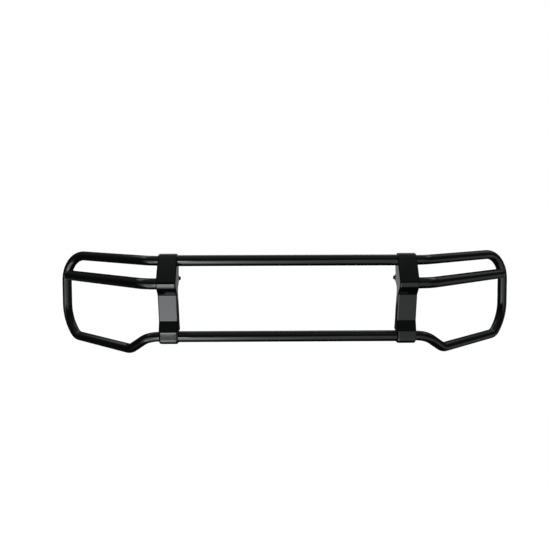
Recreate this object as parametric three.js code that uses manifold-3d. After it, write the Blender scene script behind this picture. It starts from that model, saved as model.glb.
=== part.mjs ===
// Front grille guard for a boxy off-road vehicle: two cross tubes, two swept
// headlight hoops with a headlight bar each, and two stanchions that join them
// and carry the mounting feet.
//
// Units are millimetres. +X is to the right of someone standing in front of the
// guard, -Y is the front, +Z is up. Everything is laid out around the axes of the
// two cross tubes, then shifted so that the origin is the centre of the guard's box.
// Paired parts are built on the right-hand side (+X) and mirrored. On them, inner
// means towards X = 0 and outer means away from it.
import * as THREE from "three";
import { mergeVertices } from "three/addons/utils/BufferGeometryUtils.js";
import Module from "manifold-3d";

// ---------------------------------------------------------------- shared dimensions
// An axis along X is given as [y, z], and an extent as [low, high].
const CROSS_R = 19; // cross tubes and headlight bars
const HOOP_R = 17;
const TUBE_WALL = 2;
const UPPER = [0, 261]; // axis of the upper cross tube
const LOWER = [-20, 0]; // axis of the lower cross tube
const BAR = [-43.6, 187.5]; // axis of the headlight bar where it leaves the stanchion
const SPLIT_X = 407; // cross tubes and hoops meet here, inside the stanchion
const SPLIT_GAP = 0.5; // each tube end stops this far from the split

const COVER_X = [374, 440.5];
const COVER_T = 3;
const RIB_T = 4;
const RIB_GAP = 0.6; // between cover and rib
const RIB_FIT = 0.4; // between a rib and the parts that meet it
const INNER_RIB_X0 = COVER_X[0] + COVER_T + RIB_GAP;
const OUTER_RIB_X1 = COVER_X[1] - COVER_T - RIB_GAP;
const INNER_RIB_X = [INNER_RIB_X0, INNER_RIB_X0 + RIB_T];
const OUTER_RIB_X = [OUTER_RIB_X1 - RIB_T, OUTER_RIB_X1];
const BETWEEN_RIBS_X = [INNER_RIB_X[1] + RIB_FIT, OUTER_RIB_X[0] - RIB_FIT];

const UPPER_EAR = [28, 196.5]; // bolt axis in the upper ear
const LOWER_EAR = [30, -10]; // bolt axis in the lower ear
const BOLT_HOLE_R = 4.5;
const BOLT_HOLE_SIDES = 16;

const CUT_MARGIN = 1; // cutters reach this far past the faces they cut

// centre of the whole guard's box in the layout frame
const CENTRE_Y = 85.33;
const CENTRE_Z = 107.153;

// ---------------------------------------------------------------- solids and meshes
const wasm = await Module();
wasm.setup();

function solid(geometry) {
  const flat = geometry.index ? geometry.toNonIndexed() : geometry;
  const bare = new THREE.BufferGeometry();
  bare.setAttribute("position", flat.getAttribute("position"));
  const merged = mergeVertices(bare, 1e-3);
  return new wasm.Manifold(
    new wasm.Mesh({
      numProp: 3,
      vertProperties: merged.attributes.position.array,
      triVerts: new Uint32Array(merged.index.array),
    }),
  );
}

function geometryOf(manifold) {
  const mesh = manifold.getMesh();
  const positions = new Float32Array(mesh.numVert * 3);
  for (let i = 0; i < mesh.numVert; i++) {
    const start = i * mesh.numProp;
    positions.set(mesh.vertProperties.subarray(start, start + 3), i * 3);
  }
  const geometry = new THREE.BufferGeometry();
  geometry.setAttribute("position", new THREE.BufferAttribute(positions, 3));
  geometry.setIndex(new THREE.BufferAttribute(new Uint32Array(mesh.triVerts), 1));
  return geometry;
}

const largest = (manifold) =>
  manifold.decompose().sort((a, b) => b.volume() - a.volume())[0];

// Mirrors an indexed geometry across the plane X = 0 and keeps its faces pointing out.
function mirrored(geometry) {
  const positions = geometry.getAttribute("position").clone();
  for (let i = 0; i < positions.count; i++) positions.setX(i, -positions.getX(i));
  const index = Array.from(geometry.index.array);
  for (let i = 0; i < index.length; i += 3) {
    [index[i + 1], index[i + 2]] = [index[i + 2], index[i + 1]];
  }
  const out = new THREE.BufferGeometry();
  out.setAttribute("position", positions);
  out.setIndex(index);
  return out;
}

// ---------------------------------------------------------------- basic shapes
const middle = ([low, high]) => (low + high) / 2;
const centred = (centre, size) => [centre - size / 2, centre + size / 2];
const widened = ([low, high]) => [low - CUT_MARGIN, high + CUT_MARGIN];
const toVector2 = ([u, v]) => new THREE.Vector2(u, v);

function box(xs, ys, zs) {
  const geometry = new THREE.BoxGeometry(xs[1] - xs[0], ys[1] - ys[0], zs[1] - zs[0]);
  geometry.translate(middle(xs), middle(ys), middle(zs));
  return solid(geometry);
}

function cylinderX(radius, xs, [y, z], sides) {
  const geometry = new THREE.CylinderGeometry(radius, radius, xs[1] - xs[0], sides);
  geometry.rotateZ(-Math.PI / 2);
  geometry.translate(middle(xs), y, z);
  return solid(geometry);
}

function cylinderY(radius, ys, [x, z], sides) {
  const geometry = new THREE.CylinderGeometry(radius, radius, ys[1] - ys[0], sides);
  geometry.translate(x, middle(ys), z);
  return solid(geometry);
}

const boltHole = (xs, axis) =>
  cylinderX(BOLT_HOLE_R, widened(xs), axis, BOLT_HOLE_SIDES);

// Extrudes a [y, z] outline along X.
function plate(outline, xs) {
  const geometry = new THREE.ExtrudeGeometry(new THREE.Shape(outline.map(toVector2)), {
    depth: xs[1] - xs[0],
    bevelEnabled: false,
  });
  // the shape's own x, y, z become the part's y, z, x
  geometry.applyMatrix4(
    new THREE.Matrix4().makeBasis(
      new THREE.Vector3(0, 1, 0),
      new THREE.Vector3(0, 0, 1),
      new THREE.Vector3(1, 0, 0),
    ),
  );
  geometry.translate(xs[0], 0, 0);
  return solid(geometry);
}

// Cuts a round-ended slot along X. Its round end is on the axis, and it runs out
// along Y by reach: to the rear if positive, to the front if negative.
function cutSlot(body, { axis, radius, xs, reach, sides }) {
  const halfHeight = radius * 0.995; // just inside the round end's facets
  const [y, z] = axis;
  return body
    .subtract(cylinderX(radius, xs, axis, sides))
    .subtract(
      box(
        xs,
        [y + Math.min(0, reach), y + Math.max(0, reach)],
        [z - halfHeight, z + halfHeight],
      ),
    );
}

// ---------------------------------------------------------------- tubes
const circle = (radius, sides) =>
  Array.from({ length: sides }, (_, i) => {
    const angle = (i / sides) * Math.PI * 2;
    return new THREE.Vector2(Math.cos(angle) * radius, Math.sin(angle) * radius);
  });

// The section of a tube, or of a solid rod when no wall is given.
function tubeSection({ radius, wall, sides, innerSides }) {
  const shape = new THREE.Shape(circle(radius, sides));
  if (wall) shape.holes.push(new THREE.Path(circle(radius - wall, innerSides)));
  return shape;
}

// A centreline of straight runs joined by true arcs, from [x, y, z, bend radius]
// corners. Its samples sit at the ends of each run and evenly along each arc.
class BentPath extends THREE.Curve {
  constructor(corners, degreesPerStep) {
    super();
    this.points = [];
    this.tangents = [];
    const places = corners.map(([x, y, z]) => new THREE.Vector3(x, y, z));
    const last = places.length - 1;
    this.addSample(places[0], places[1].clone().sub(places[0]));
    for (let i = 1; i < last; i++) {
      const before = places[i].clone().sub(places[i - 1]).normalize();
      const after = places[i + 1].clone().sub(places[i]).normalize();
      this.addBend(places[i], before, after, corners[i][3], degreesPerStep);
    }
    this.addSample(places[last], places[last].clone().sub(places[last - 1]));
  }
  addSample(point, tangent) {
    this.points.push(point.clone());
    this.tangents.push(tangent.clone().normalize());
  }
  addBend(corner, before, after, radius, degreesPerStep) {
    const turn = before.angleTo(after);
    const inward = after
      .clone()
      .addScaledVector(before, -after.dot(before))
      .normalize();
    const centre = corner
      .clone()
      .addScaledVector(before, -radius * Math.tan(turn / 2))
      .addScaledVector(inward, radius);
    const steps = Math.max(2, Math.ceil((turn * 180) / Math.PI / degreesPerStep));
    for (let k = 0; k <= steps; k++) {
      const angle = (turn * k) / steps;
      const point = centre
        .clone()
        .addScaledVector(inward, -radius * Math.cos(angle))
        .addScaledVector(before, radius * Math.sin(angle));
      const tangent = before
        .clone()
        .multiplyScalar(Math.cos(angle))
        .addScaledVector(inward, Math.sin(angle));
      this.addSample(point, tangent);
    }
  }
  // ExtrudeGeometry reads the path through the methods below
  get steps() {
    return this.points.length - 1;
  }
  getTangent(t, target = new THREE.Vector3()) {
    return target.copy(this.tangents[Math.round(t * this.steps)]);
  }
  getUtoTmapping(u) {
    return u;
  }
  getSpacedPoints() {
    return this.points.map((point) => point.clone());
  }
}

function bentTube({ corners, degreesPerStep, ...section }) {
  const path = new BentPath(corners, degreesPerStep);
  return solid(
    new THREE.ExtrudeGeometry(tubeSection(section), {
      steps: path.steps,
      extrudePath: path,
    }),
  );
}

// ---------------------------------------------------------------- [y, z] outlines
const arc = (centre, radius, startDegrees, endDegrees, steps) =>
  Array.from({ length: steps + 1 }, (_, i) => {
    const degrees = startDegrees + ((endDegrees - startDegrees) * i) / steps;
    const angle = (degrees * Math.PI) / 180;
    return [centre[0] + radius * Math.cos(angle), centre[1] + radius * Math.sin(angle)];
  });

const directionDegrees = (from, to) =>
  (Math.atan2(to[1] - from[1], to[0] - from[0]) * 180) / Math.PI;

// Rounds the corners of an open outline that have a radius: entries are [y, z] or
// [y, z, radius].
function rounded(entries, steps) {
  return entries.flatMap(([y, z, radius], i) => {
    if (radius === undefined) return [[y, z]];
    const corner = new THREE.Vector2(y, z);
    const back = toVector2(entries[i - 1]).sub(corner).normalize();
    const ahead = toVector2(entries[i + 1]).sub(corner).normalize();
    const half = Math.acos(THREE.MathUtils.clamp(back.dot(ahead), -1, 1)) / 2;
    const reach = radius / Math.tan(half);
    const centre = corner
      .clone()
      .addScaledVector(back.clone().add(ahead).normalize(), radius / Math.sin(half));
    const start = corner.clone().addScaledVector(back, reach).sub(centre);
    const end = corner.clone().addScaledVector(ahead, reach).sub(centre);
    const startAngle = Math.atan2(start.y, start.x);
    let turn = Math.atan2(end.y, end.x) - startAngle;
    if (turn > Math.PI) turn -= 2 * Math.PI;
    if (turn < -Math.PI) turn += 2 * Math.PI;
    return Array.from({ length: steps + 1 }, (_, k) => {
      const angle = startAngle + (turn * k) / steps;
      return [centre.x + radius * Math.cos(angle), centre.y + radius * Math.sin(angle)];
    });
  });
}

// Moves an open outline sideways, to the left of its direction of travel.
function shifted(line, distance) {
  const last = line.length - 1;
  return line.map((point, i) => {
    const previous = line[Math.max(0, i - 1)];
    const next = line[Math.min(last, i + 1)];
    const normalIn = new THREE.Vector2(previous[1] - point[1], point[0] - previous[0]);
    const normalOut = new THREE.Vector2(point[1] - next[1], next[0] - point[0]);
    if (i === 0) normalIn.copy(normalOut);
    if (i === last) normalOut.copy(normalIn);
    normalIn.normalize();
    normalOut.normalize();
    const mitre = normalIn.clone().add(normalOut).normalize();
    const length = distance / Math.max(0.5, mitre.dot(normalIn));
    return [point[0] + mitre.x * length, point[1] + mitre.y * length];
  });
}

// ---------------------------------------------------------------- stanchion outline
const WRAP_R = 24.2; // outside radius over the upper tube and round the bar
const WRAP_START = 52; // degrees, at the rear of the wrap over the upper tube
const WRAP_STEPS = 5;
const CORNER_STEPS = 3;
const RECESS_TOP = [-39, 146];
// below the bar, across the recess and under the lower tube: [y, z, corner radius]
const FRONT_TAIL = [
  [...RECESS_TOP, 9],
  [-30, 57, 9],
  [-44.5, 21, 10],
  [-44.5, -24, 19],
  [6, -24],
];
// the rear edge of the cover's side walls, from the bottom up
const COVER_REAR = [
  [6, 20], [-1, 49], [-7, 101], [-18, 158], [-14, 172],
  [3, 184], [6, 206], [11, 226], [14, 262],
];

// From the rear of the wrap over the upper tube, down the sloping face and round
// the bar, then along the tail.
function frontLine() {
  // the sloping face is the common tangent of the two equal wraps
  const faceNormal = directionDegrees(BAR, UPPER) + 90;
  // the line leaves the bar's wrap on a tangent through the top of the recess
  const distance = Math.hypot(RECESS_TOP[0] - BAR[0], RECESS_TOP[1] - BAR[1]);
  const leave =
    360 +
    directionDegrees(BAR, RECESS_TOP) -
    (Math.acos(WRAP_R / distance) * 180) / Math.PI;
  const top = arc(UPPER, WRAP_R, WRAP_START, faceNormal, WRAP_STEPS);
  const ridge = arc(BAR, WRAP_R, faceNormal, leave, WRAP_STEPS);
  const tail = rounded([ridge.at(-1), ...FRONT_TAIL], CORNER_STEPS);
  return [...top, ...ridge, ...tail.slice(1)];
}

const COVER_LINE = frontLine();

// ---------------------------------------------------------------- cover
// A pressed channel, open at the rear, notched for the tubes.
function stanchionCover() {
  const notchGap = 0.8;
  const cavityRear = 40;
  const innerWall = [COVER_X[0] - 5, COVER_X[0] + COVER_T + 1];
  const outerWall = [COVER_X[1] - COVER_T - 1, COVER_X[1] + 5];
  const notches = [
    [UPPER, CROSS_R, innerWall],
    [UPPER, HOOP_R, outerWall],
    [LOWER, CROSS_R, innerWall],
    [LOWER, HOOP_R, outerWall],
    [BAR, CROSS_R, outerWall],
  ];
  const insideLine = shifted(COVER_LINE, COVER_T);
  const cavity = plate(
    [...insideLine, [cavityRear, insideLine.at(-1)[1]], [cavityRear, insideLine[0][1]]],
    [COVER_X[0] + COVER_T, COVER_X[1] - COVER_T],
  );
  let cover = plate([...COVER_LINE, ...COVER_REAR], COVER_X).subtract(cavity);
  for (const [axis, tubeRadius, xs] of notches) {
    const radius = tubeRadius + notchGap;
    cover = cutSlot(cover, { axis, radius, xs, reach: 90, sides: 28 });
  }
  return geometryOf(cover);
}

// ---------------------------------------------------------------- ribs
const EAR_R = 11;
const RIB_FRONT_END_Y = 12.5; // the rib's front line is kept ahead of this
const RIB_LINE = shifted(COVER_LINE, COVER_T + RIB_GAP).filter(
  ([y]) => y < RIB_FRONT_END_Y,
);
// the rear edge of the ribs, from the bottom up
const RIB_REAR = [
  // lower ear, behind the lower tube
  [LOWER_EAR[0] - 22, -20.4],
  ...arc(LOWER_EAR, EAR_R, -90, 90, 6),
  [12, 6], [4, 22], [-3.2, 49], [-9.2, 101], [-20, 158], [-16, 170.5],
  // upper ear
  [UPPER_EAR[0] - 9, 184.2],
  ...arc(UPPER_EAR, EAR_R, -78, 78, 6),
  [8, 211], [11, 226],
  // round the rear of the upper tube
  ...arc(UPPER, 25.5, -58, 38, 6),
];

// A plate inside the cover, with saddles open to the front: [axis, tube radius].
function rib(xs, saddles) {
  const cutX = widened(xs);
  let body = plate([...RIB_LINE, ...RIB_REAR], xs);
  for (const [axis, tubeRadius] of saddles) {
    const radius = tubeRadius + RIB_FIT;
    body = cutSlot(body, { axis, radius, xs: cutX, reach: -60, sides: 24 });
  }
  // the lip over the upper tube stops at its rear quarter
  body = body.subtract(box(cutX, [-60, 15.8], [UPPER[1] + 4, UPPER[1] + 60]));
  for (const ear of [UPPER_EAR, LOWER_EAR]) body = body.subtract(boltHole(xs, ear));
  return geometryOf(largest(body));
}

const innerRib = () =>
  rib(INNER_RIB_X, [
    [UPPER, CROSS_R],
    [LOWER, CROSS_R],
  ]);

const outerRib = () =>
  rib(OUTER_RIB_X, [
    [UPPER, HOOP_R],
    [LOWER, HOOP_R],
    [BAR, CROSS_R],
  ]);

// ---------------------------------------------------------------- tie plate
// Closes the back of the recess between the ribs.
function tiePlate() {
  const ys = [-18.5, -14.5];
  const zs = [58, 138];
  const holeR = 8;
  const holePitch = 40;
  let tie = box(BETWEEN_RIBS_X, ys, zs);
  for (const z of centred(middle(zs), holePitch)) {
    tie = tie.subtract(cylinderY(holeR, widened(ys), [SPLIT_X, z], 16));
  }
  return geometryOf(tie);
}

// ---------------------------------------------------------------- mounting feet
const FOOT_REAR_Y = 51;
const FOOT_T = 5;
const FOOT_W = 32;
const FOOT_H = 74;
const FOOT_HOLE_R = 4.5;
const FOOT_HOLE_PITCH = 54;
const SLEEVE_R = 9;
const WEB_OFFSET = 12; // from the middle of the foot to the middle of a web
const WEB_T = 5;
const WEB_H = 17.6;
const WEB_OVERLAP = 1; // each web runs this far into the plate

// A sleeve between the ribs, and an upright plate behind it.
function foot(ear, centreZ) {
  const plateY = [FOOT_REAR_Y - FOOT_T, FOOT_REAR_Y];
  const webY = [ear[0], plateY[0] + WEB_OVERLAP];
  let body = cylinderX(SLEEVE_R, BETWEEN_RIBS_X, ear, 18).add(
    box(centred(SPLIT_X, FOOT_W), plateY, centred(centreZ, FOOT_H)),
  );
  // two webs carry the plate on the sleeve
  for (const x of centred(SPLIT_X, 2 * WEB_OFFSET)) {
    body = body.add(box(centred(x, WEB_T), webY, centred(ear[1], WEB_H)));
  }
  body = body.subtract(boltHole(BETWEEN_RIBS_X, ear));
  for (const z of centred(centreZ, FOOT_HOLE_PITCH)) {
    body = body.subtract(cylinderY(FOOT_HOLE_R, widened(plateY), [SPLIT_X, z], 16));
  }
  return geometryOf(body);
}

// ---------------------------------------------------------------- foot fasteners
// The bolts run through ribs and feet: head and washer on the outer side, nut on
// the inner side.
const BOLT_R = 4; // M8
const HEX_R = 7.5; // across the corners of head and nut, halved
const STACK_GAP = 0.3; // between rib, washer, head and nut
const WASHER_X0 = OUTER_RIB_X[1] + STACK_GAP;
const WASHER_X = [WASHER_X0, WASHER_X0 + 1.6];
const HEAD_X0 = WASHER_X[1] + STACK_GAP;
const HEAD_X = [HEAD_X0, HEAD_X0 + 5.3];
const NUT_X1 = INNER_RIB_X[0] - STACK_GAP;
const NUT_X = [NUT_X1 - 5.4, NUT_X1];
const SHANK_X = [NUT_X[0] - 1.2, HEAD_X[0] + 1]; // past the nut, and into the head

const hexBolt = (axis) =>
  geometryOf(
    cylinderX(BOLT_R, SHANK_X, axis, 16).add(cylinderX(HEX_R, HEAD_X, axis, 6)),
  );

function hexNut(axis) {
  const bore = cylinderX(BOLT_R + 0.35, widened(NUT_X), axis, 16);
  return geometryOf(cylinderX(HEX_R, NUT_X, axis, 6).subtract(bore));
}

const washer = (axis) =>
  geometryOf(cylinderX(8.2, WASHER_X, axis, 20).subtract(boltHole(WASHER_X, axis)));

// ---------------------------------------------------------------- hoop
const HOOP = {
  // centreline corners: [x, y, z, bend radius]
  corners: [
    [SPLIT_X + SPLIT_GAP, ...UPPER, 0],
    [470, ...UPPER, 100],
    [836, 228.7, 261.5, 97],
    [837, 211, 20, 160],
    [794, 179.4, -41, 42],
    [554, 28.4, -54.8, 50],
    [478.5, ...LOWER, 85],
    [SPLIT_X + SPLIT_GAP, ...LOWER, 0],
  ],
  radius: HOOP_R,
  sides: 20,
  degreesPerStep: 14,
};

const hoopTube = () =>
  geometryOf(bentTube({ ...HOOP, wall: TUBE_WALL, innerSides: 14 }));

// ---------------------------------------------------------------- headlight bar
// centreline corners: [x, y, z, bend radius]; the last lies on the hoop's axis
const BAR_CORNERS = [
  [385, ...BAR, 0],
  [480, ...BAR, 108],
  [836.3, 223.2, 184.3, 0],
];
const BAR_SETBACK = 12; // the bar is trimmed this far short of the hoop's axis
const COPE_GAP = 0.4; // between bar and hoop
const TRIM_SIZE = 900; // cube that holds all of the bar that is kept

// Trimmed square across its end, then coped to sit against the hoop.
function headlightBar() {
  const [bend, tip] = BAR_CORNERS.slice(1).map(([x, y, z]) => new THREE.Vector3(x, y, z));
  const along = tip.clone().sub(bend).normalize();
  const trim = new THREE.BoxGeometry(TRIM_SIZE, TRIM_SIZE, TRIM_SIZE);
  trim.applyQuaternion(
    new THREE.Quaternion().setFromUnitVectors(new THREE.Vector3(1, 0, 0), along),
  );
  const centre = tip.clone().addScaledVector(along, -BAR_SETBACK - TRIM_SIZE / 2);
  trim.translate(centre.x, centre.y, centre.z);
  const tube = bentTube({
    corners: BAR_CORNERS,
    radius: CROSS_R,
    wall: TUBE_WALL,
    sides: 22,
    innerSides: 16,
    degreesPerStep: 8,
  });
  const cope = bentTube({ ...HOOP, radius: HOOP_R + COPE_GAP });
  return geometryOf(largest(tube.intersect(solid(trim)).subtract(cope)));
}

// ---------------------------------------------------------------- couplers
// Stepped sleeves inside the tubes where cross tube and hoop meet.
// closed profile: [radius, x from the split]
const COUPLER_PROFILE = [
  [11.5, -34], [15.6, -34], [16.4, -32], [16.4, 0], [14.3, 0.01],
  [14.3, 30], [13.6, 32], [11.5, 32], [11.5, -34],
];

function coupler([y, z]) {
  const geometry = new THREE.LatheGeometry(COUPLER_PROFILE.map(toVector2), 16);
  geometry.rotateZ(-Math.PI / 2);
  geometry.translate(SPLIT_X, y, z);
  return geometryOf(solid(geometry));
}

// ---------------------------------------------------------------- cross tubes
function crossTube([y, z]) {
  const halfLength = SPLIT_X - SPLIT_GAP;
  const section = { radius: CROSS_R, wall: TUBE_WALL, sides: 32, innerSides: 24 };
  const geometry = new THREE.ExtrudeGeometry(tubeSection(section), {
    depth: 2 * halfLength,
    bevelEnabled: false,
  });
  geometry.rotateY(Math.PI / 2);
  geometry.translate(-halfLength, y, z);
  return geometry;
}

// ---------------------------------------------------------------- materials
const tubeBlack = new THREE.MeshStandardMaterial({
  name: "gloss_black_tube",
  color: 0x0b0b0c,
  roughness: 0.16,
  metalness: 0,
});
const coverBlack = new THREE.MeshStandardMaterial({
  name: "gloss_black_cover",
  color: 0x0c0d0e,
  roughness: 0.22,
  metalness: 0,
});
const satinSteel = new THREE.MeshStandardMaterial({
  name: "satin_black_steel",
  color: 0x141516,
  roughness: 0.5,
  metalness: 0,
});
const blackZinc = new THREE.MeshStandardMaterial({
  name: "black_zinc",
  color: 0x2a2b2d,
  roughness: 0.38,
  metalness: 0.9,
});

// ---------------------------------------------------------------- assembly
const guard = new THREE.Group();

function place(name, geometry, material) {
  const mesh = new THREE.Mesh(geometry, material);
  mesh.name = name;
  guard.add(mesh);
}

function placePair(name, geometry, material) {
  place(`right_${name}`, geometry, material);
  place(`left_${name}`, mirrored(geometry), material);
}

place("upper_cross_tube", crossTube(UPPER), tubeBlack);
place("lower_cross_tube", crossTube(LOWER), tubeBlack);

placePair("stanchion_cover", stanchionCover(), coverBlack);
placePair("inner_rib", innerRib(), satinSteel);
placePair("outer_rib", outerRib(), satinSteel);
placePair("tie_plate", tiePlate(), satinSteel);
// [level, bolt axis, height of the foot's centre]
for (const [level, ear, footZ] of [
  ["upper", UPPER_EAR, 195],
  ["lower", LOWER_EAR, 3],
]) {
  placePair(`${level}_mount_foot`, foot(ear, footZ), satinSteel);
  placePair(`${level}_foot_bolt`, hexBolt(ear), blackZinc);
  placePair(`${level}_foot_washer`, washer(ear), blackZinc);
  placePair(`${level}_foot_nut`, hexNut(ear), blackZinc);
}
placePair("hoop_tube", hoopTube(), tubeBlack);
placePair("headlight_bar", headlightBar(), tubeBlack);
placePair("upper_coupler", coupler(UPPER), blackZinc);
placePair("lower_coupler", coupler(LOWER), blackZinc);

guard.position.set(0, -CENTRE_Y, -CENTRE_Z);

export default guard;
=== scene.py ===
"""Front grille guard: cross tubes joined to side hoops and headlight bars by folded stanchion covers,
with weld beads and fasteners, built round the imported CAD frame.

X runs across the guard with the right side at +X, the front faces -Y and Z is up. The layout is in
millimetres. Only right-hand pieces are modelled; the left-hand ones are their mirror images.
"""

import math

import bmesh
import bpy
from mathutils import Matrix, Vector
from mathutils.bvhtree import BVHTree


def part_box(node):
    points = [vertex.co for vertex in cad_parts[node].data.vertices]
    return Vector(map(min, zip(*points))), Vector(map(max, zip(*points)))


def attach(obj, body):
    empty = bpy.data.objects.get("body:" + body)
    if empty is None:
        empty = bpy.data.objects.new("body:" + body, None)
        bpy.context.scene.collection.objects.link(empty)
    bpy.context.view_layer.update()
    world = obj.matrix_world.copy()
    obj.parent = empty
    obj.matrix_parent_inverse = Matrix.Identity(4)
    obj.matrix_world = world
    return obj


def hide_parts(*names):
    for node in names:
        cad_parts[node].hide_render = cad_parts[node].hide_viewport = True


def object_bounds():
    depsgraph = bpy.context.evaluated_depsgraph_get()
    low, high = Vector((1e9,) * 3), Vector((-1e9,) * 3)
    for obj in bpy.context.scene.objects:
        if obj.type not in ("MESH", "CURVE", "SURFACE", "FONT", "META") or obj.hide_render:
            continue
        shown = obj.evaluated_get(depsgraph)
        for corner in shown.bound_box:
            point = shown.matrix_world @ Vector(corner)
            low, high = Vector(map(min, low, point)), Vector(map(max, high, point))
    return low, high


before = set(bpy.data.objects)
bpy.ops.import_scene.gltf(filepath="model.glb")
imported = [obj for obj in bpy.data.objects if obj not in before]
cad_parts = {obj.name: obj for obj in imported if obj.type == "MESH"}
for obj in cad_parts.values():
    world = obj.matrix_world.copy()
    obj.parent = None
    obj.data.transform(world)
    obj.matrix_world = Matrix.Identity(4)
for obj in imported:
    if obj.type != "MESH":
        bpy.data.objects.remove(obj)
CAD_LO, CAD_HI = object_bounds()
scene = bpy.context.scene
MM = 0.001

# ------------------------------------------------------------------ layout, in millimetres
CROSS_R, HOOP_R, WALL = 19.0, 17.0, 2.0
UPPER, LOWER, BAR = (0.0, 261.0), (-20.0, 0.0), (-43.6, 187.5)  # tube axes, (y, z)
SPLIT_X, SPLIT_GAP = 407.0, 1.0  # where the cross tubes meet the hoop
HOOP_START_X = SPLIT_X + SPLIT_GAP / 2
# tube corners: x, y, z, bend radius
HOOP = [
    (HOOP_START_X, *UPPER, 0),
    (470, *UPPER, 100),
    (836, 228.7, 261.5, 97),
    (837, 211.0, 20.0, 160),
    (794, 179.4, -41.0, 42),
    (554, 28.4, -54.8, 50),
    (478.5, *LOWER, 85),
    (HOOP_START_X, *LOWER, 0),
]
BAR_PATH = [(385, *BAR, 0), (480, *BAR, 108), (836.3, 223.2, 184.3, 0)]
BAR_SETBACK = 12.0  # the bar stops at least this far short of its last corner
COPE_RUN = 60  # the coped end starts this far before the last corner
COPE_GAP = 0.3

COVER_T, WRAP_R = 3.0, 24.2  # sheet thickness, outer radius round the tubes
COVER_GAP = 0.8  # between the cover and the tubes through it
RECESS_TOP = (-39.0, 146.0)
# the cover outline under the bar: y, z, corner radius
COVER_TAIL = [(*RECESS_TOP, 9), (-30, 57, 9), (-44.5, 20, 10), (-44.5, -24, 18), (6, -24)]
# rear edge of the cover, from the bottom up: y, z
REAR = [
    (6, 20), (-1, 49), (-7, 101), (-18, 158), (-14, 172),
    (3, 184), (6, 206), (11, 226), (14, 262),
]
# radius of the cover's folded edges: z, radius; tightest on the straight faces
BEND_STOPS = [(8, 8.5), (40, 5.0), (245, 5.0), (262, 7.0)]
BEND_STEPS = 9

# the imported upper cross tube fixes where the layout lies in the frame
_lo, _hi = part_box("upper_cross_tube")
ORIGIN = Vector((0, (_lo.y + _hi.y) / 2 - UPPER[0] * MM, (_lo.z + _hi.z) / 2 - UPPER[1] * MM))


def span(cad, axis="x"):
    """A CAD node's extent along one axis, in layout millimetres."""
    lo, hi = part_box(cad)
    start = getattr(ORIGIN, axis)
    return (getattr(lo, axis) - start) / MM, (getattr(hi, axis) - start) / MM


COVER_X0, COVER_X1 = span("right_stanchion_cover")


def at(point):
    """A layout point in millimetres as a frame point in metres."""
    return Vector((point[0] * MM, point[1] * MM, point[2] * MM)) + ORIGIN


# ------------------------------------------------------------------ mesh helpers
def make(name, verts, faces, sharp=35.0):
    """A mesh object from layout points."""
    mesh = bpy.data.meshes.new(name)
    mesh.from_pydata([at(v) for v in verts], [], faces)
    made = bpy.data.objects.new(name, mesh)
    scene.collection.objects.link(made)
    tidy(mesh, sharp)
    return made


def tidy(mesh, sharp):
    """Turns faces outward and smooths them, but keeps edges above the angle in degrees crisp."""
    bm = bmesh.new()
    bm.from_mesh(mesh)
    bmesh.ops.remove_doubles(bm, verts=bm.verts, dist=2e-6)
    bmesh.ops.dissolve_degenerate(bm, edges=bm.edges, dist=2e-6)
    bmesh.ops.recalc_face_normals(bm, faces=bm.faces)
    for face in bm.faces:
        face.smooth = True
    limit = math.radians(sharp)
    for edge in bm.edges:
        edge.smooth = not (len(edge.link_faces) == 2 and edge.calc_face_angle(0) > limit)
    bm.to_mesh(mesh)
    bm.free()
    mesh.update()


def apply_modifiers(target):
    """Replaces an object's mesh with its evaluated one and drops the modifiers."""
    graph = bpy.context.evaluated_depsgraph_get()
    graph.update()
    mesh = bpy.data.meshes.new_from_object(target.evaluated_get(graph))
    target.modifiers.clear()
    old = target.data
    target.data = mesh
    bpy.data.meshes.remove(old)


def mirror_copy(source):
    """The same piece, with its modifiers, on the left-hand side."""
    name = source.name.replace("right_", "left_")
    mesh = source.data.copy()
    mesh.name = name
    copy = bpy.data.objects.new(name, mesh)
    scene.collection.objects.link(copy)
    mesh.transform(Matrix.Diagonal((-1, 1, 1, 1)))
    mesh.flip_normals()
    for modifier in source.modifiers:
        twin = copy.modifiers.new(modifier.name, modifier.type)
        for prop in modifier.bl_rna.properties:
            if prop.is_readonly or prop.identifier in ("name", "type"):
                continue
            # guards against properties that refuse to be set from a script
            try:
                setattr(twin, prop.identifier, getattr(modifier, prop.identifier))
            except (AttributeError, TypeError):
                pass
    return copy


def bent_path(corners, step_deg=3.0, step_mm=40.0):
    """Points and tangents of straight runs joined by true arcs."""
    spots = [Vector(c[:3]) for c in corners]
    path = [(spots[0], (spots[1] - spots[0]).normalized())]

    def add(point, tangent):
        last = path[-1][0]
        gap = (point - last).length
        if gap < 1e-6:
            return
        runs = max(1, int(gap / step_mm))
        for k in range(1, runs):
            path.append((last.lerp(point, k / runs), tangent))
        path.append((point, tangent))

    for i in range(1, len(spots) - 1):
        before = (spots[i] - spots[i - 1]).normalized()
        after = (spots[i + 1] - spots[i]).normalized()
        turn, radius = before.angle(after), corners[i][3]
        start = spots[i] - before * (radius * math.tan(turn / 2))
        inward = (after - before * after.dot(before)).normalized()
        centre = start + inward * radius
        add(start, before)
        steps = max(3, math.ceil(math.degrees(turn) / step_deg))
        for k in range(1, steps + 1):
            t = turn * k / steps
            point = centre - inward * (radius * math.cos(t)) + before * (radius * math.sin(t))
            path.append((point, before * math.cos(t) + inward * math.sin(t)))
    add(spots[-1], (spots[-1] - spots[-2]).normalized())
    return path


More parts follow.
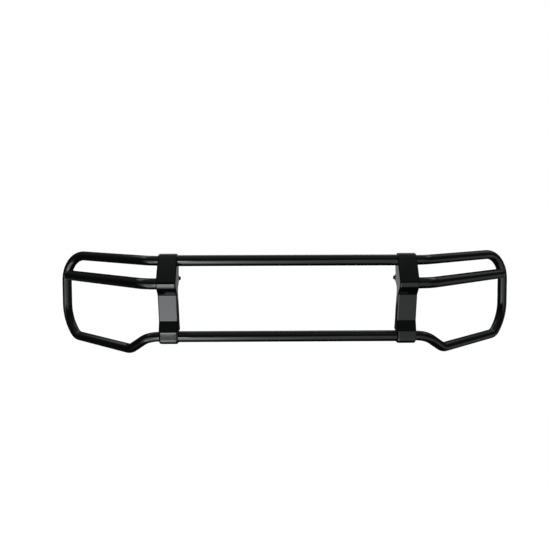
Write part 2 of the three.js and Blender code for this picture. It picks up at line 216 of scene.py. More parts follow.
def rings(path, radius, count):
    """Circles of points carried along a path without twisting."""
    last = path[0][1]
    side = last.cross(Vector((0, 0, 1)))
    if side.length < 0.1:
        side = last.cross(Vector((0, 1, 0)))
    side.normalize()
    rows = []
    for point, tangent in path:
        side = (last.rotation_difference(tangent) @ side).normalized()
        side = (side - tangent * side.dot(tangent)).normalized()
        up = tangent.cross(side)
        last = tangent
        angles = [2 * math.pi * k / count for k in range(count)]
        rows.append(
            [point + side * (radius * math.cos(t)) + up * (radius * math.sin(t)) for t in angles]
        )
    return rows


def skin(rows, closed=False):
    """Vertices and quads that join loops of equal length."""
    width, height = len(rows[0]), len(rows)
    verts = [v for row in rows for v in row]
    faces = []
    for i in range(height if closed else height - 1):
        a, b = i * width, ((i + 1) % height) * width
        for k in range(width):
            j = (k + 1) % width
            faces.append((a + k, a + j, b + j, b + k))
    return verts, faces


def tube(name, path, radius, sides):
    """A hollow tube with square-cut ends."""
    outer, inner = rings(path, radius, sides), rings(path, radius - WALL, sides)
    return make(name, *skin(outer + inner[::-1], closed=True))


def bead(name, points, radius, closed=False, step=0.65, pitch=2.6, sides=12, fade=2.5):
    """A weld bead: a small round along a line, with overlapping scales and faded open ends."""
    loop = points + points[:1] if closed else points
    reached = [0.0]
    for a, b in zip(loop, loop[1:]):
        reached.append(reached[-1] + (b - a).length)
    length = reached[-1]
    count = max(8, int(length / step))
    line, k = [], 0
    for i in range(count if closed else count + 1):
        s = length * i / count
        while k < len(reached) - 2 and reached[k + 1] < s:
            k += 1
        part = (s - reached[k]) / max(1e-9, reached[k + 1] - reached[k])
        line.append((loop[k].lerp(loop[k + 1], part), s))
    path, last = [], len(line) - 1
    for i, (point, _) in enumerate(line):
        before = line[i - 1][0] if closed or i else line[0][0]
        after = line[(i + 1) % len(line)][0] if closed or i < last else line[-1][0]
        path.append((point, (after - before).normalized()))
    rows = []
    for (point, s), row in zip(line, rings(path, 1.0, sides)):
        wave = (s / pitch) % 1.0
        scale = 0.16 * math.sqrt(max(0.0, 1 - (2 * wave - 1) ** 2))
        r = radius * (0.9 + scale + 0.03 * math.sin(s * 1.7))
        if not closed:
            r *= math.sqrt(max(0.02, min(1.0, s / fade, (length - s) / fade)))
        rows.append([point + (q - point) * r for q in row])
    verts, faces = skin(rows, closed)
    if not closed:
        faces += [tuple(range(sides))[::-1], tuple(range(len(verts) - sides, len(verts)))]
    return make(name, verts, faces, sharp=80)


# ------------------------------------------------------------------ stanchion outline, in (y, z)
def arc(centre, radius, start, end, steps):
    """Points of an arc between two angles in degrees: 0 is to the rear, 90 is up."""
    angles = [math.radians(start + (end - start) * i / steps) for i in range(steps + 1)]
    return [(centre[0] + radius * math.cos(t), centre[1] + radius * math.sin(t)) for t in angles]


def rounded(points, steps):
    """An open outline with its inner corners, (y, z, radius), turned into arcs."""
    outline = [points[0][:2]]
    for before, corner, after in zip(points, points[1:], points[2:]):
        spot, radius = Vector(corner[:2]), corner[2]
        a = (Vector(before[:2]) - spot).normalized()
        b = (Vector(after[:2]) - spot).normalized()
        half = a.angle(b) / 2
        centre = spot + (a + b).normalized() * (radius / math.sin(half))
        start = spot + a * (radius / math.tan(half)) - centre
        end = spot + b * (radius / math.tan(half)) - centre
        angle = math.atan2(start.y, start.x)
        turn = math.atan2(end.y, end.x) - angle
        turn = (turn + math.pi) % (2 * math.pi) - math.pi
        for k in range(steps + 1):
            t = angle + turn * k / steps
            outline.append((centre.x + radius * math.cos(t), centre.y + radius * math.sin(t)))
    return outline + [points[-1][:2]]


def front_line():
    """Round the upper tube, down the sloping face, round the bar, along the recess, under the
    lower tube."""
    slope = 180 - math.degrees(math.atan2(UPPER[0] - BAR[0], UPPER[1] - BAR[1]))
    dy, dz = RECESS_TOP[0] - BAR[0], RECESS_TOP[1] - BAR[1]
    reach = math.hypot(dy, dz)
    leave = 360 + math.degrees(math.atan2(dz, dy)) - math.degrees(math.acos(WRAP_R / reach))
    ridge = arc(BAR, WRAP_R, slope, leave, 20)
    tail = rounded([ridge[-1], *COVER_TAIL], 9)
    return arc(UPPER, WRAP_R, 52, slope, 22) + ridge + tail[1:]


def normals(line):
    """Outward normals of an open outline travelled with the outside on its right."""
    result = []
    for i, point in enumerate(line):
        before, after = Vector(line[max(0, i - 1)]), Vector(line[min(len(line) - 1, i + 1)])
        here, normal = Vector(point), Vector((0, 0))
        for a, b in ((before, here), (here, after)):
            edge = b - a
            if edge.length > 1e-6:
                normal += Vector((edge.y, -edge.x)).normalized()
        result.append(normal.normalized())
    return result


LINE = front_line()
OUT = normals(LINE)


# ------------------------------------------------------------------ stanchion cover
def bend_radius(z):
    if z <= BEND_STOPS[0][0]:
        return BEND_STOPS[0][1]
    for (a, radius_a), (b, radius_b) in zip(BEND_STOPS, BEND_STOPS[1:]):
        if z < b:
            return radius_a + (radius_b - radius_a) * (z - a) / (b - a)
    return BEND_STOPS[-1][1]


def pressed(name, depth, x0, x1, rear):
    """The closed solid inside the outline moved in by depth, with its front edges rounded."""
    quarter = [math.pi / 2 * k / BEND_STEPS for k in range(BEND_STEPS + 1)]
    rows = []
    for (y, z), out in zip(LINE, OUT):
        r = bend_radius(z) - depth
        fold = [(x0 + r - r * math.cos(t), depth + r - r * math.sin(t)) for t in quarter]
        fold += [(x1 - r + r * math.cos(t), depth + r - r * math.sin(t)) for t in quarter[::-1]]
        rows.append([(x, y - out.x * d, z - out.y * d) for x, d in fold])
    w, m, c = len(rows[0]), len(rows), len(rear)
    verts = [v for row in rows for v in row]
    base = len(verts)
    verts += [(x, y, z) for x in (x0, x1) for y, z in rear]
    faces = [
        (i * w + j, i * w + j + 1, (i + 1) * w + j + 1, (i + 1) * w + j)
        for i in range(m - 1)
        for j in range(w - 1)
    ]
    # the rear strip, the two sides, the bottom and the top
    faces += [(base + i, base + i + 1, base + c + i + 1, base + c + i) for i in range(c - 1)]
    faces.append(tuple([i * w for i in range(m)] + [base + i for i in range(c)]))
    faces.append(tuple([i * w + w - 1 for i in range(m)] + [base + c + i for i in range(c)]))
    faces.append(tuple([(m - 1) * w + j for j in range(w)] + [base + c, base]))
    faces.append(tuple([*range(w), base + 2 * c - 1, base + c - 1]))
    return make(name, verts, faces)


def slot_cutter(name, centre, tube_r, x0, x1, reach=90):
    """A tube-shaped notch, open to the rear."""
    r, back = tube_r + COVER_GAP, centre[0] + reach
    outline = [(back, centre[1] + r)] + arc(centre, r, 90, 270, 48) + [(back, centre[1] - r)]
    k = len(outline)
    verts = [(x, y, z) for x in (x0, x1) for y, z in outline]
    faces = [(i, (i + 1) % k, k + (i + 1) % k, k + i) for i in range(k)]
    faces += [tuple(range(k)), tuple(range(k, 2 * k))]
    return make(name, verts, faces)


def stanchion_cover():
    """A folded sheet, open at the rear, with notches for the tubes."""
    body = pressed("right_stanchion_cover_skin", 0.0, COVER_X0, COVER_X1, REAR)
    # the cavity runs out through the rear
    mouth = [(40.0, LINE[i][1] - OUT[i].y * COVER_T) for i in (-1, 0)]
    cavity = pressed("cutter_cavity", COVER_T, COVER_X0 + COVER_T, COVER_X1 - COVER_T, mouth)
    inboard = COVER_X0 - 5, COVER_X0 + COVER_T + 6
    outboard = COVER_X1 - COVER_T - 6, COVER_X1 + 5
    cutters = [cavity]
    for axis in (UPPER, LOWER):
        cutters.append(slot_cutter("cutter_in", axis, CROSS_R, *inboard))
        cutters.append(slot_cutter("cutter_out", axis, HOOP_R, *outboard))
    cutters.append(slot_cutter("cutter_bar", BAR, CROSS_R, *outboard))
    for i, cutter in enumerate(cutters):
        cut = body.modifiers.new(f"cut{i}", "BOOLEAN")
        cut.operation, cut.solver, cut.object = "DIFFERENCE", "EXACT", cutter
    apply_modifiers(body)
    for cutter in cutters:
        mesh = cutter.data
        bpy.data.objects.remove(cutter)
        bpy.data.meshes.remove(mesh)
    tidy(body.data, 38)
    return body


# ------------------------------------------------------------------ tubes
def cross_tube(level, axis, runs=24):
    x = SPLIT_X - SPLIT_GAP / 2
    path = [(Vector((-x + 2 * x * i / runs, *axis)), Vector((1, 0, 0))) for i in range(runs + 1)]
    return tube(f"{level}_cross_tube_skin", path, CROSS_R, 64)


def headlight_bar(hoop_path):
    """The bar coped to the hoop, and the outer rim of its coped end."""
    corner, tip = (Vector(p[:3]) for p in BAR_PATH[1:])
    along = (tip - corner).normalized()
    hoop_tree = BVHTree.FromPolygons(*skin(rings(hoop_path, HOOP_R + COPE_GAP, 96)))
    back = tip - along * COPE_RUN
    path = [(p, t) for p, t in bent_path(BAR_PATH) if (p - back).dot(along) < 0]
    path.append((back, along))

    def coped(radius):
        rows = rings(path, radius, 64)
        end = []
        for point in rows[-1]:
            reach = (tip - along * BAR_SETBACK - point).dot(along)
            hit = hoop_tree.ray_cast(point, along, 200.0)
            if hit[0] is not None:
                reach = min(reach, hit[3])
            end.append(point + along * reach)
        return rows, end

    outer, rim = coped(CROSS_R)
    inner, inner_rim = coped(CROSS_R - WALL)
    loops = outer + [rim, inner_rim] + inner[::-1]
    made = make("right_headlight_bar_skin", *skin(loops, closed=True))
    return made, [point - along * 0.4 for point in rim]


cross = {level: cross_tube(level, axis) for level, axis in (("upper", UPPER), ("lower", LOWER))}
hoop_path = bent_path(HOOP)
hoop = tube("right_hoop_tube_skin", hoop_path, HOOP_R, 60)
bar, bar_weld_line = headlight_bar(hoop_path)
right_cover = stanchion_cover()

# ------------------------------------------------------------------ weld beads
# the faces the two ribs turn to each other: label, x, direction off the face, tube radius
RIB_FACES = (
    ("inner", span("right_inner_rib")[1], 1, CROSS_R),
    ("outer", span("right_outer_rib")[0], -1, HOOP_R),
)


def saddle_bead(name, axis, tube_r, x, start, end):
    """A bead round the rear of a tube, beside a rib."""
    points = [Vector((x, y, z)) for y, z in arc(axis, tube_r + 0.5, start, end, 40)]
    return bead(name, points, 1.9)


def tie_bead(name, x, z0, z1, steps=20):
    """An upright bead at the rear edge of the tie plate."""
    y = span("right_tie_plate", "y")[1] + 0.2
    return bead(name, [Vector((x, y, z0 + (z1 - z0) * i / steps)) for i in range(steps + 1)], 1.7)


welds = [bead("right_bar_weld", bar_weld_line, 2.0, closed=True)]
for label, x, off, tube_r in RIB_FACES:
    for level, axis, start, end in (("upper", UPPER, -86, 34), ("lower", LOWER, -70, 84)):
        name = f"right_{label}_{level}_weld"
        welds.append(saddle_bead(name, axis, tube_r, x + off * 0.5, start, end))
outer_face = RIB_FACES[1][1]
welds.append(saddle_bead("right_bar_saddle_weld", BAR, CROSS_R, outer_face - 0.5, -84, 84))
tie_z0, tie_z1 = span("right_tie_plate", "z")
for label, x, off, _ in RIB_FACES:
    for k, ends in enumerate(((tie_z0 + 4, tie_z0 + 24), (tie_z1 - 24, tie_z1 - 4))):
        welds.append(tie_bead(f"right_tie_{label}_weld_{k}", x + off * 0.9, *ends))

# ------------------------------------------------------------------ fasteners
HEX_ACROSS = 13.0
HEAD_HEIGHT = 5.3
THREAD_PITCH, THREAD_LENGTH = 1.25, 20


def hex_radius(angle):
    """Distance from the centre of the hexagon to its side, at an angle."""
    return HEX_ACROSS / 2 / math.cos((angle + math.pi / 6) % (math.pi / 3) - math.pi / 6)


def revolved(cad, axis, profile, turn=0, closed=True, steps=72):
    """Rows round the X direction through axis. A row is (x, radius, is_hex): a hex row is the hexagon
    cut back to the radius. An open profile is capped at each end."""
    rows = []
    for x, radius, is_hex in profile:
        row = []
        for k in range(steps):
            t = 2 * math.pi * k / steps
            r = min(radius, hex_radius(t + turn)) if is_hex else radius
            row.append((x, axis[0] + r * math.cos(t), axis[1] + r * math.sin(t)))
        rows.append(row)
    verts, faces = skin(rows, closed)
    if not closed:
        faces += [tuple(range(steps)), tuple(range(len(verts) - steps, len(verts)))]
    return make(cad + "_detail", verts, faces, sharp=32)


def plain(*rows):
    return [(x, radius, False) for x, radius in rows]


def hexed(*rows):
    return [(x, radius, True) for x, radius in rows]


def bolt(cad, axis, turn):
    tip, top = span(cad)
    face = top - HEAD_HEIGHT
    profile = plain((tip, 3.0), (tip + 0.8, 3.55))
    x = tip + 0.8
    while x < tip + THREAD_LENGTH:
        profile += plain((x + 0.45, 4.0), (x + 0.62, 4.0), (x + 1.1, 3.45), (x + THREAD_PITCH, 3.45))
        x += THREAD_PITCH
    profile += plain((x + 1.2, 4.0), (face, 4.0), (face, 6.0), (face + 0.35, 6.25))
    profile += hexed((face + 0.35, 6.7), (face + 0.7, 7.2), (face + 1.0, 8.0))
    profile += hexed(*((top - 1.15 + 0.19 * k, 8.0 - 0.36 * k - 0.02 * k * k) for k in range(7)))
    profile += plain((top, 5.6), (top, 4.4), (top - 0.25, 4.1))
    return revolved(cad, axis, profile, turn, closed=False)


def nut(cad, axis, turn):
    x0, x1 = span(cad)
    # one end, as depths in from the face
    end = plain((0.6, 4.35), (0, 4.9), (0, 6.0))
    end += hexed(*((0.19 * k, 6.2 + 0.36 * k) for k in range(6)))
    profile = [(x0 + d, r, is_hex) for d, r, is_hex in end]
    profile += [(x1 - d, r, is_hex) for d, r, is_hex in end[::-1]]
    return revolved(cad, axis, profile, turn)


def washer(cad, axis):
    x0, x1 = span(cad)
    profile = plain((x0, 4.5), (x0, 8.0), (x0 + 0.25, 8.2), (x1 - 0.35, 8.2))
    profile += plain((x1, 7.9), (x1, 4.6), (x1 - 0.1, 4.5))
    return revolved(cad, axis, profile)


hardware = []  # (object, CAD node it stands for)
for level, turn in (("upper", 0.21), ("lower", 0.74)):
    foot = f"right_{level}_foot_"
    axis = tuple(sum(span(foot + "washer", a)) / 2 for a in "yz")
    hardware.append((bolt(foot + "bolt", axis, turn), foot + "bolt"))
    hardware.append((nut(foot + "nut", axis, turn + 0.4), foot + "nut"))
    hardware.append((washer(foot + "washer", axis), foot + "washer"))


# ------------------------------------------------------------------ shader helpers
def set_inputs(tree, target, inputs):
    """Links or sets each input, by name or number."""
    for key, value in inputs.items():
        if isinstance(value, bpy.types.NodeSocket):
            tree.links.new(value, target.inputs[key])
        else:
            target.inputs[key].default_value = value


def add_node(tree, kind, inputs=None, **settings):
    made = tree.nodes.new(kind)
    for key, value in settings.items():
        setattr(made, key, value)
    set_inputs(tree, made, inputs or {})
    return made


def noise(tree, scale, detail=2.0, rough=0.5):
    coords = tree.nodes["coords"].outputs["Object"]
    inputs = {"Scale": scale, "Detail": detail, "Roughness": rough, "Vector": coords}
    return add_node(tree, "ShaderNodeTexNoise", inputs).outputs["Fac"]


def smooth(tree, source, start, end, low=0, high=1):
    """A smooth step from low, at start, to high, at end."""
    inputs = {"Value": source, "From Min": start, "From Max": end, "To Min": low, "To Max": high}
    made = add_node(tree, "ShaderNodeMapRange", inputs, interpolation_type="SMOOTHSTEP")
    return made.outputs["Result"]


def mix_colour(tree, fac, a, b):
    """Mixes a, a colour or a socket, with the colour b."""
    a = (*a, 1) if isinstance(a, tuple) else a
    # the colour sockets of a Mix node are inputs 6 and 7 and output 2
    inputs = {0: fac, 6: a, 7: (*b, 1)}
    return add_node(tree, "ShaderNodeMix", inputs, data_type="RGBA").outputs[2]


def bump(tree, source, strength, distance, normal=None):
    inputs = {"Strength": strength, "Distance": distance, "Height": source}
    if normal is not None:
        inputs["Normal"] = normal
    return add_node(tree, "ShaderNodeBump", inputs).outputs["Normal"]


def brighter(colour, gain, offset):
    return tuple(min(1, gain * c + offset) for c in colour)


def new_material(name):
    material = bpy.data.materials.new(name)
    material.use_nodes = True
    return material, material.node_tree


# ------------------------------------------------------------------ materials
def powder_coat(name, base, lift, rough, peel, specks=0.25, ior=1.5):
    """Sprayed powder: near-black, with an orange-peel skin, cloudy roughness and dust specks."""
    material, tree = new_material(name)
    add_node(tree, "ShaderNodeTexCoord", name="coords")
    cloud = noise(tree, scale=14, detail=3, rough=0.55)
    dust = noise(tree, scale=900, detail=2, rough=0.6)
    coarse_peel = noise(tree, scale=240, detail=1.5, rough=0.45)
    fine_peel = noise(tree, scale=620, detail=2, rough=0.5)
    colour = mix_colour(tree, smooth(tree, cloud, start=0.35, end=0.7), base, lift)
    speck = smooth(tree, dust, start=0.70, end=0.80, high=specks)
    colour = mix_colour(tree, speck, colour, brighter(lift, gain=3.2, offset=0.004))
    # painted edge highlight: corners and raised rims are painted a slightly lighter grey
    pointiness = add_node(tree, "ShaderNodeNewGeometry").outputs["Pointiness"]
    rim = smooth(tree, pointiness, start=0.53, end=0.60, high=0.5)
    colour = mix_colour(tree, rim, colour, brighter(lift, gain=2.0, offset=0.003))
    patches = noise(tree, scale=55, detail=3, rough=0.6)
    coarse = bump(tree, coarse_peel, strength=peel, distance=0.00008)
    set_inputs(tree, tree.nodes["Principled BSDF"], {
        "Base Color": colour,
        "Roughness": smooth(
            tree, patches, start=0.3, end=0.75, low=rough * 0.85, high=rough * 1.2
        ),
        "Normal": bump(tree, fine_peel, strength=peel * 0.6, distance=0.00003, normal=coarse),
        "IOR": ior,
        "Coat Roughness": 0.05,
    })
    return material


def zinc_finish(name, base, lift, rough, lines):
    """Plated steel: metallic, with faint turning marks and blotches."""
    material, tree = new_material(name)
    coords = add_node(tree, "ShaderNodeTexCoord", name="coords").outputs["Object"]
    blotch = smooth(tree, noise(tree, scale=160, detail=4, rough=0.6), start=0.3, end=0.75)
    colour = mix_colour(tree, blotch, base, lift)
    grit = noise(tree, scale=700, detail=3, rough=0.6)
    roughness = smooth(tree, grit, start=0.3, end=0.8, low=rough * 0.8, high=rough * 1.3)
    inputs = {"Scale": lines, "Distortion": 1.5, "Detail": 2.0, "Vector": coords}
    marks = add_node(tree, "ShaderNodeTexWave", inputs, bands_direction="X").outputs["Fac"]
    grain = bump(tree, noise(tree, scale=1500), strength=0.3, distance=0.00001)
    set_inputs(tree, tree.nodes["Principled BSDF"], {
        "Base Color": colour,
        "Roughness": roughness,
        "Metallic": 0.92,
        "Normal": bump(tree, marks, strength=0.25, distance=0.00001, normal=grain),
    })
    return material


GLOSS = {"base": (0.0040, 0.0041, 0.0043), "lift": (0.0062, 0.0064, 0.0066)}
TUBE_BLACK = powder_coat("gloss_black_tube", **GLOSS, rough=0.055, peel=0.16)
COVER_BLACK = powder_coat(
    "gloss_black_cover",
    base=(0.0044, 0.0046, 0.0049), lift=(0.0068, 0.0071, 0.0076), rough=0.07, peel=0.16,
)
WELD_BLACK = powder_coat("gloss_black_weld", **GLOSS, rough=0.20, peel=0.5)
BRACKET_BLACK = powder_coat(
    "satin_black_bracket",
    base=(0.0220, 0.0225, 0.0235), lift=(0.0360, 0.0368, 0.0385),
    rough=0.40, peel=0.6, specks=0.5, ior=1.45,
)
ZINC_BLACK = zinc_finish(
    "black_zinc", base=(0.052, 0.054, 0.060), lift=(0.115, 0.110, 0.100), rough=0.34, lines=900
)
STEEL = zinc_finish(
    "drawn_steel", base=(0.30, 0.30, 0.31), lift=(0.46, 0.45, 0.44), rough=0.38, lines=500
)


# ------------------------------------------------------------------ finishing
def dress(target, material):
    target.data.materials.clear()
    target.data.materials.append(material)
    for face in target.data.polygons:
        face.material_index = 0


def soften(target, width, angle=50):
    """Rounds crisp edges a little, without touching the stored vertices."""
    edge = target.modifiers.new("edge", "BEVEL")
    edge.width, edge.segments = width * MM, 2
    edge.limit_method, edge.angle_limit = "ANGLE", math.radians(angle)
    edge.use_clamp_overlap = True
    shading = target.modifiers.new("normals", "WEIGHTED_NORMAL")
    shading.keep_sharp, shading.weight = True, 60


def stands_for(target, cad):
    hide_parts(cad)
    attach(target, "root")


for level, piece in cross.items():
    dress(piece, TUBE_BLACK)
    stands_for(piece, f"{level}_cross_tube")

for piece, material, width in (
    (hoop, TUBE_BLACK, 0.3), (bar, TUBE_BLACK, 0.3), (right_cover, COVER_BLACK, 0.45)
):
    dress(piece, material)
    soften(piece, width)
for weld in welds:
    dress(weld, WELD_BLACK)
for piece, _ in hardware:
    dress(piece, ZINC_BLACK)

sided = [
    (hoop, "right_hoop_tube", "tube_black"),
    (bar, "right_headlight_bar", "tube_black"),
    (right_cover, "right_stanchion_cover", "cover_black"),
]
sided += [(piece, cad, "fastener_zinc") for piece, cad in hardware]
for piece, cad, slot in sided:
    left = mirror_copy(piece)
    stands_for(piece, cad)
    stands_for(left, cad.replace("right_", "left_"))
for weld in welds:
    for piece in (weld, mirror_copy(weld)):
        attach(piece, "root")

# CAD nodes that are kept as they are
for name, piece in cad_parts.items():
    if piece.hide_render:
        continue
    if name.endswith(("_rib", "_tie_plate", "_mount_foot")):
        dress(piece, BRACKET_BLACK)
    elif name.endswith("_coupler"):
        dress(piece, STEEL)
    else:
        dress(piece, ZINC_BLACK)
    if "custom_normal" in piece.data.attributes:
        piece.data.attributes.remove(piece.data.attributes["custom_normal"])
    for face in piece.data.polygons:
        face.use_smooth = True
    piece.modifiers.new("weld", "WELD").merge_threshold = 0.00002
    soften(piece, 0.6, angle=40)


# ------------------------------------------------------------------ floor, in metres
def floor(radius=14.0, drop=0.002, sides=96):
    z = CAD_LO.z - drop
    bm = bmesh.new()
    angles = [2 * math.pi * k / sides for k in range(sides)]
    bm.faces.new([bm.verts.new((radius * math.cos(t), radius * math.sin(t), z)) for t in angles])
    mesh = bpy.data.meshes.new("floor")
    bm.to_mesh(mesh)
    bm.free()
    disc = bpy.data.objects.new("floor", mesh)
    scene.collection.objects.link(disc)
    material, tree = new_material("pale_floor")
    tree.nodes.clear()
    glow = add_node(tree, "ShaderNodeEmission", {"Color": (1, 1, 1, 1), "Strength": 0.985})
    matt = add_node(tree, "ShaderNodeBsdfDiffuse", {"Color": (0.04, 0.04, 0.04, 1)})
    both = add_node(tree, "ShaderNodeAddShader", {0: glow.outputs[0], 1: matt.outputs[0]})
    add_node(tree, "ShaderNodeOutputMaterial", {0: both.outputs[0]})
    mesh.materials.append(material)
    # the world gives the reflections, so the floor itself is only seen directly
    disc.visible_glossy = False
    disc.visible_diffuse = False
    disc.visible_transmission = False


floor()

# ------------------------------------------------------------------ world: a pale sweep of soft lights
world = bpy.data.worlds.new("studio")
scene.world = world
world.use_nodes = True
sky = world.node_tree
sky.nodes.clear()


def calc(operation, *values):
    made = add_node(sky, "ShaderNodeMath", dict(enumerate(values)), operation=operation)
    return made.outputs[0]


def times(a, b):
    return calc("MULTIPLY", a, b)


generated = add_node(sky, "ShaderNodeTexCoord").outputs["Generated"]
DIR_X, DIR_Y, DIR_Z = add_node(sky, "ShaderNodeSeparateXYZ", {0: generated}).outputs
# degrees: azimuth is 0 at the front and + to the right, elevation is + upwards
AZIMUTH = times(calc("ARCTAN2", DIR_X, times(DIR_Y, -1.0)), 180 / math.pi)
ELEVATION = times(calc("ARCSINE", DIR_Z), 180 / math.pi)


def gate(source, start, full, fade, end):
    """0 below start, 1 between full and fade, 0 above end."""
    return times(smooth(sky, source, start, full), smooth(sky, source, fade, end, low=1, high=0))


def curve(source, limit, stops):
    """A smooth curve through (degrees, level) stops, from -limit to limit."""
    top = max(level for _, level in stops)
    made = add_node(sky, "ShaderNodeValToRGB")
    made.color_ramp.interpolation = "EASE"
    elements = made.color_ramp.elements
    while len(elements) < len(stops):
        elements.new(0.5)
    for element, (degrees, level) in zip(elements, stops):
        element.position = (degrees + limit) / (2 * limit)
        element.color = (level / top, level / top, level / top, 1)
    inputs = {"Value": source, "From Min": -limit, "From Max": limit}
    place = add_node(sky, "ShaderNodeMapRange", inputs).outputs["Result"]
    sky.links.new(place, made.inputs[0])
    return times(made.outputs[0], top)


def glow(side, rise):
    """A light shaped by its stops round the azimuth and up the elevation."""
    return times(curve(AZIMUTH, 180, side), curve(ELEVATION, 90, rise))


# (degrees, level) stops: SIDE round the azimuth, RISE up the elevation
# a lit table below the horizon, all round the front and stronger to the left
TABLE_SIDE = [
    (-180, 0.02), (-80, 0.02), (-70, 0.12), (-62, 0.5), (-55, 1.1), (-47, 3.8), (-38, 2.9),
    (-28, 2.1), (-18, 2.1), (-10, 1.7), (-4, 1.45), (2, 1.4), (7, 1.0), (14, 0.80), (24, 0.70),
    (45, 0.62), (60, 0.45), (66, 0.2), (72, 0.0), (180, 0.0),
]
TABLE_RISE = [
    (-90, 0.01), (-82, 0.01), (-76, 0.04), (-70, 0.2), (-64, 0.5), (-58, 0.65), (-50, 0.8),
    (-42, 1.0), (-18, 1.0), (-13, 0.75), (-8, 0.3), (-4, 0.1), (0, 0.0), (90, 0.0),
]
# a soft box below the horizon, left of the front
BOX_SIDE = [
    (-180, 0), (-32, 0), (-22, 0.55), (-15, 1), (-9, 1), (-4, 0.35), (0, 0.1), (5, 0), (180, 0),
]
BOX_RISE = [
    (-90, 0), (-72, 0), (-62, 0.03), (-54, 0.13), (-46, 0.55), (-40, 1), (-32, 1), (-25, 0.76),
    (-20, 0.66), (-16, 0.08), (-14, 0), (90, 0),
]
BOX_LEVEL = 3.6
# the far edge of the table, about the horizon
EDGE_SIDE = [
    (-180, 0), (-84, 0), (-74, 0.08), (-64, 0.45), (-54, 1.2), (-42, 2.2), (-30, 2.3), (-18, 1.6),
    (-6, 1.2), (6, 0.85), (20, 0.55), (34, 0.28), (48, 0.2), (66, 0.12), (80, 0.08), (100, 0.04),
    (115, 0), (180, 0),
]
EDGE_RISE = [
    (-90, 0), (-12, 0), (-9, 0.6), (-7, 1), (-2, 1), (1, 0.6), (4, 0.15), (6, 0), (90, 0),
]
# a low glow on the right
FAR_SIDE = [
    (-180, 0), (58, 0), (70, 0.40), (90, 0.42), (104, 0.25), (118, 0.05), (126, 0), (180, 0),
]
FAR_RISE = [
    (-90, 0), (-50, 0), (-42, 0.2), (-34, 0.8), (-28, 1), (-14, 1), (-8, 0.3), (-3, 0.05),
    (0, 0), (90, 0),
]
# a dim dome, brighter overhead
DOME_RISE = [
    (-90, 0.02), (0, 0.03), (20, 0.06), (35, 0.11), (46, 0.14), (51.5, 0.15), (55, 0.27),
    (75, 0.27), (90, 0.28),
]
# a pale backdrop behind
BACK_SIDE = [
    (-180, 0.42), (-167, 0.50), (-157, 0.3), (-146, 0), (148, 0), (160, 0.1), (170, 0.24),
    (180, 0.42),
]
BACK_GATE = (-10.8, -9.3, -3, 1)
# a slim high light round the sides and the back
RING_SIDE = [
    (-180, 2.2), (-140, 1.9), (-115, 1.0), (-85, 0.9), (-70, 0.3), (-62, 0), (62, 0), (70, 0.3),
    (85, 0.9), (115, 1.0), (140, 1.9), (180, 2.2),
]
RING_GATE = (43, 46, 52, 56)
# lamps: level, azimuth gate, elevation gate
LAMPS = [
    (0.5, (2, 9, 35, 52), (-3, 0, 7, 15)),  # at the horizon, right of the front
    (0.32, (96, 110, 130, 150), (18, 26, 38, 52)),  # high on the right, to the rear
    (8.0, (-13, -12, -8.5, -8), (-13.9, -12.6, -5, -3)),  # slim and upright
    (4.5, (-26, -18, -5, 0), (-13.2, -12, -10, -8.5)),  # slim and level
]


def table_light():
    """The table, dimmed close in on the right and along its top on the left."""
    light = glow(TABLE_SIDE, TABLE_RISE)
    right_side = smooth(sky, AZIMUTH, start=8, end=40)
    steep = smooth(sky, ELEVATION, start=-62, end=-44, low=1, high=0)
    near_right = calc("SUBTRACT", 1.0, times(right_side, steep))
    left_side = smooth(sky, AZIMUTH, start=-36, end=-28, low=1, high=0)
    shallow = smooth(sky, ELEVATION, start=-22, end=-14)
    near_left = calc("SUBTRACT", 1.0, times(left_side, shallow))
    return times(light, times(near_right, near_left))


parts = [
    times(curve(AZIMUTH, 180, RING_SIDE), gate(ELEVATION, *RING_GATE)),
    table_light(),
    curve(ELEVATION, 90, DOME_RISE),
    times(glow(BOX_SIDE, BOX_RISE), BOX_LEVEL),
    glow(EDGE_SIDE, EDGE_RISE),
    glow(FAR_SIDE, FAR_RISE),
]
for level, side, rise in LAMPS:
    parts.append(times(times(gate(AZIMUTH, *side), gate(ELEVATION, *rise)), level))
parts.append(times(curve(AZIMUTH, 180, BACK_SIDE), gate(ELEVATION, *BACK_GATE)))
total = parts[0]
for part in parts[1:]:
    total = calc("ADD", total, part)

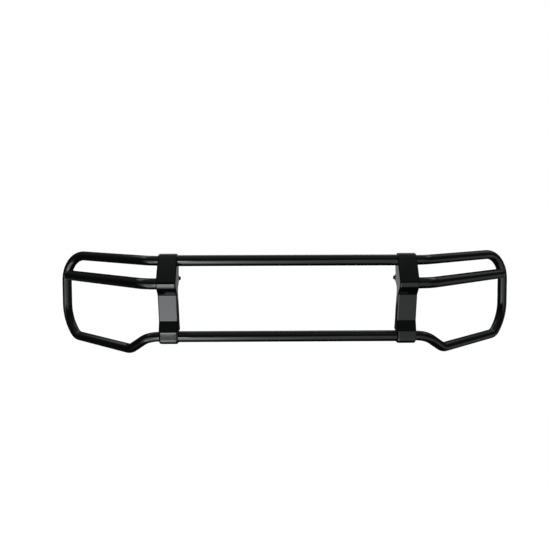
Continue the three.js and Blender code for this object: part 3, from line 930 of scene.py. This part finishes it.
# the camera sees plain white; everything else sees the lights
BACKGROUND = "ShaderNodeBackground"
reflected = add_node(sky, BACKGROUND, {"Strength": total, "Color": (0.955, 0.99, 1.0, 1)})
seen = add_node(sky, BACKGROUND, {"Strength": 1.0, "Color": (1, 1, 1, 1)})
camera_ray = add_node(sky, "ShaderNodeLightPath").outputs["Is Camera Ray"]
choices = {0: camera_ray, 1: reflected.outputs[0], 2: seen.outputs[0]}
pick = add_node(sky, "ShaderNodeMixShader", choices)
add_node(sky, "ShaderNodeOutputWorld", {0: pick.outputs[0]})


# ------------------------------------------------------------------ area lights, in metres and watts
def area(name, place, target, size, power):
    """A rectangular light that leaves no reflection of itself."""
    light = bpy.data.lights.new(name, "AREA")
    light.shape, light.energy = "RECTANGLE", power
    light.size, light.size_y = size
    lamp = bpy.data.objects.new(name, light)
    scene.collection.objects.link(lamp)
    lamp.location = place
    lamp.rotation_mode = "QUATERNION"
    lamp.rotation_quaternion = (Vector(target) - Vector(place)).to_track_quat("-Z", "Y")
    lamp.visible_camera = False
    lamp.visible_glossy = False


area("top_bank", place=(0, 0.6, 2.6), target=(0, 0.05, 0), size=(3.2, 1.6), power=14)
area("rear_bank", place=(0.3, 2.8, 1.6), target=(0, 0, 0), size=(2.6, 1.2), power=95)

# ------------------------------------------------------------------ camera, in front and above
YAW, PITCH, ROLL = 0.01012, 0.13285, -0.00247  # radians: to the right, down, about the view
CAMERA_PLACE = (-61.896, -1900.0, 464.36)  # layout millimetres

level_view = math.cos(PITCH)
ahead = Vector((math.sin(YAW) * level_view, math.cos(YAW) * level_view, -math.sin(PITCH)))
right = Vector((math.cos(YAW), -math.sin(YAW), 0))
up = right.cross(ahead)
rolled_right = right * math.cos(ROLL) + up * math.sin(ROLL)
rolled_up = -right * math.sin(ROLL) + up * math.cos(ROLL)
camera_data = bpy.data.cameras.new("camera")
camera_data.sensor_width = 36.0
camera_data.lens = 36.4981091
camera_data.clip_start, camera_data.clip_end = 0.05, 60
camera = bpy.data.objects.new("camera", camera_data)
scene.collection.objects.link(camera)
columns = zip(rolled_right, rolled_up, -ahead, at(CAMERA_PLACE))
camera.matrix_world = Matrix((*columns, (0, 0, 0, 1)))
scene.camera = camera
scene.view_settings.view_transform = "Standard"
scene.view_settings.look = "None"
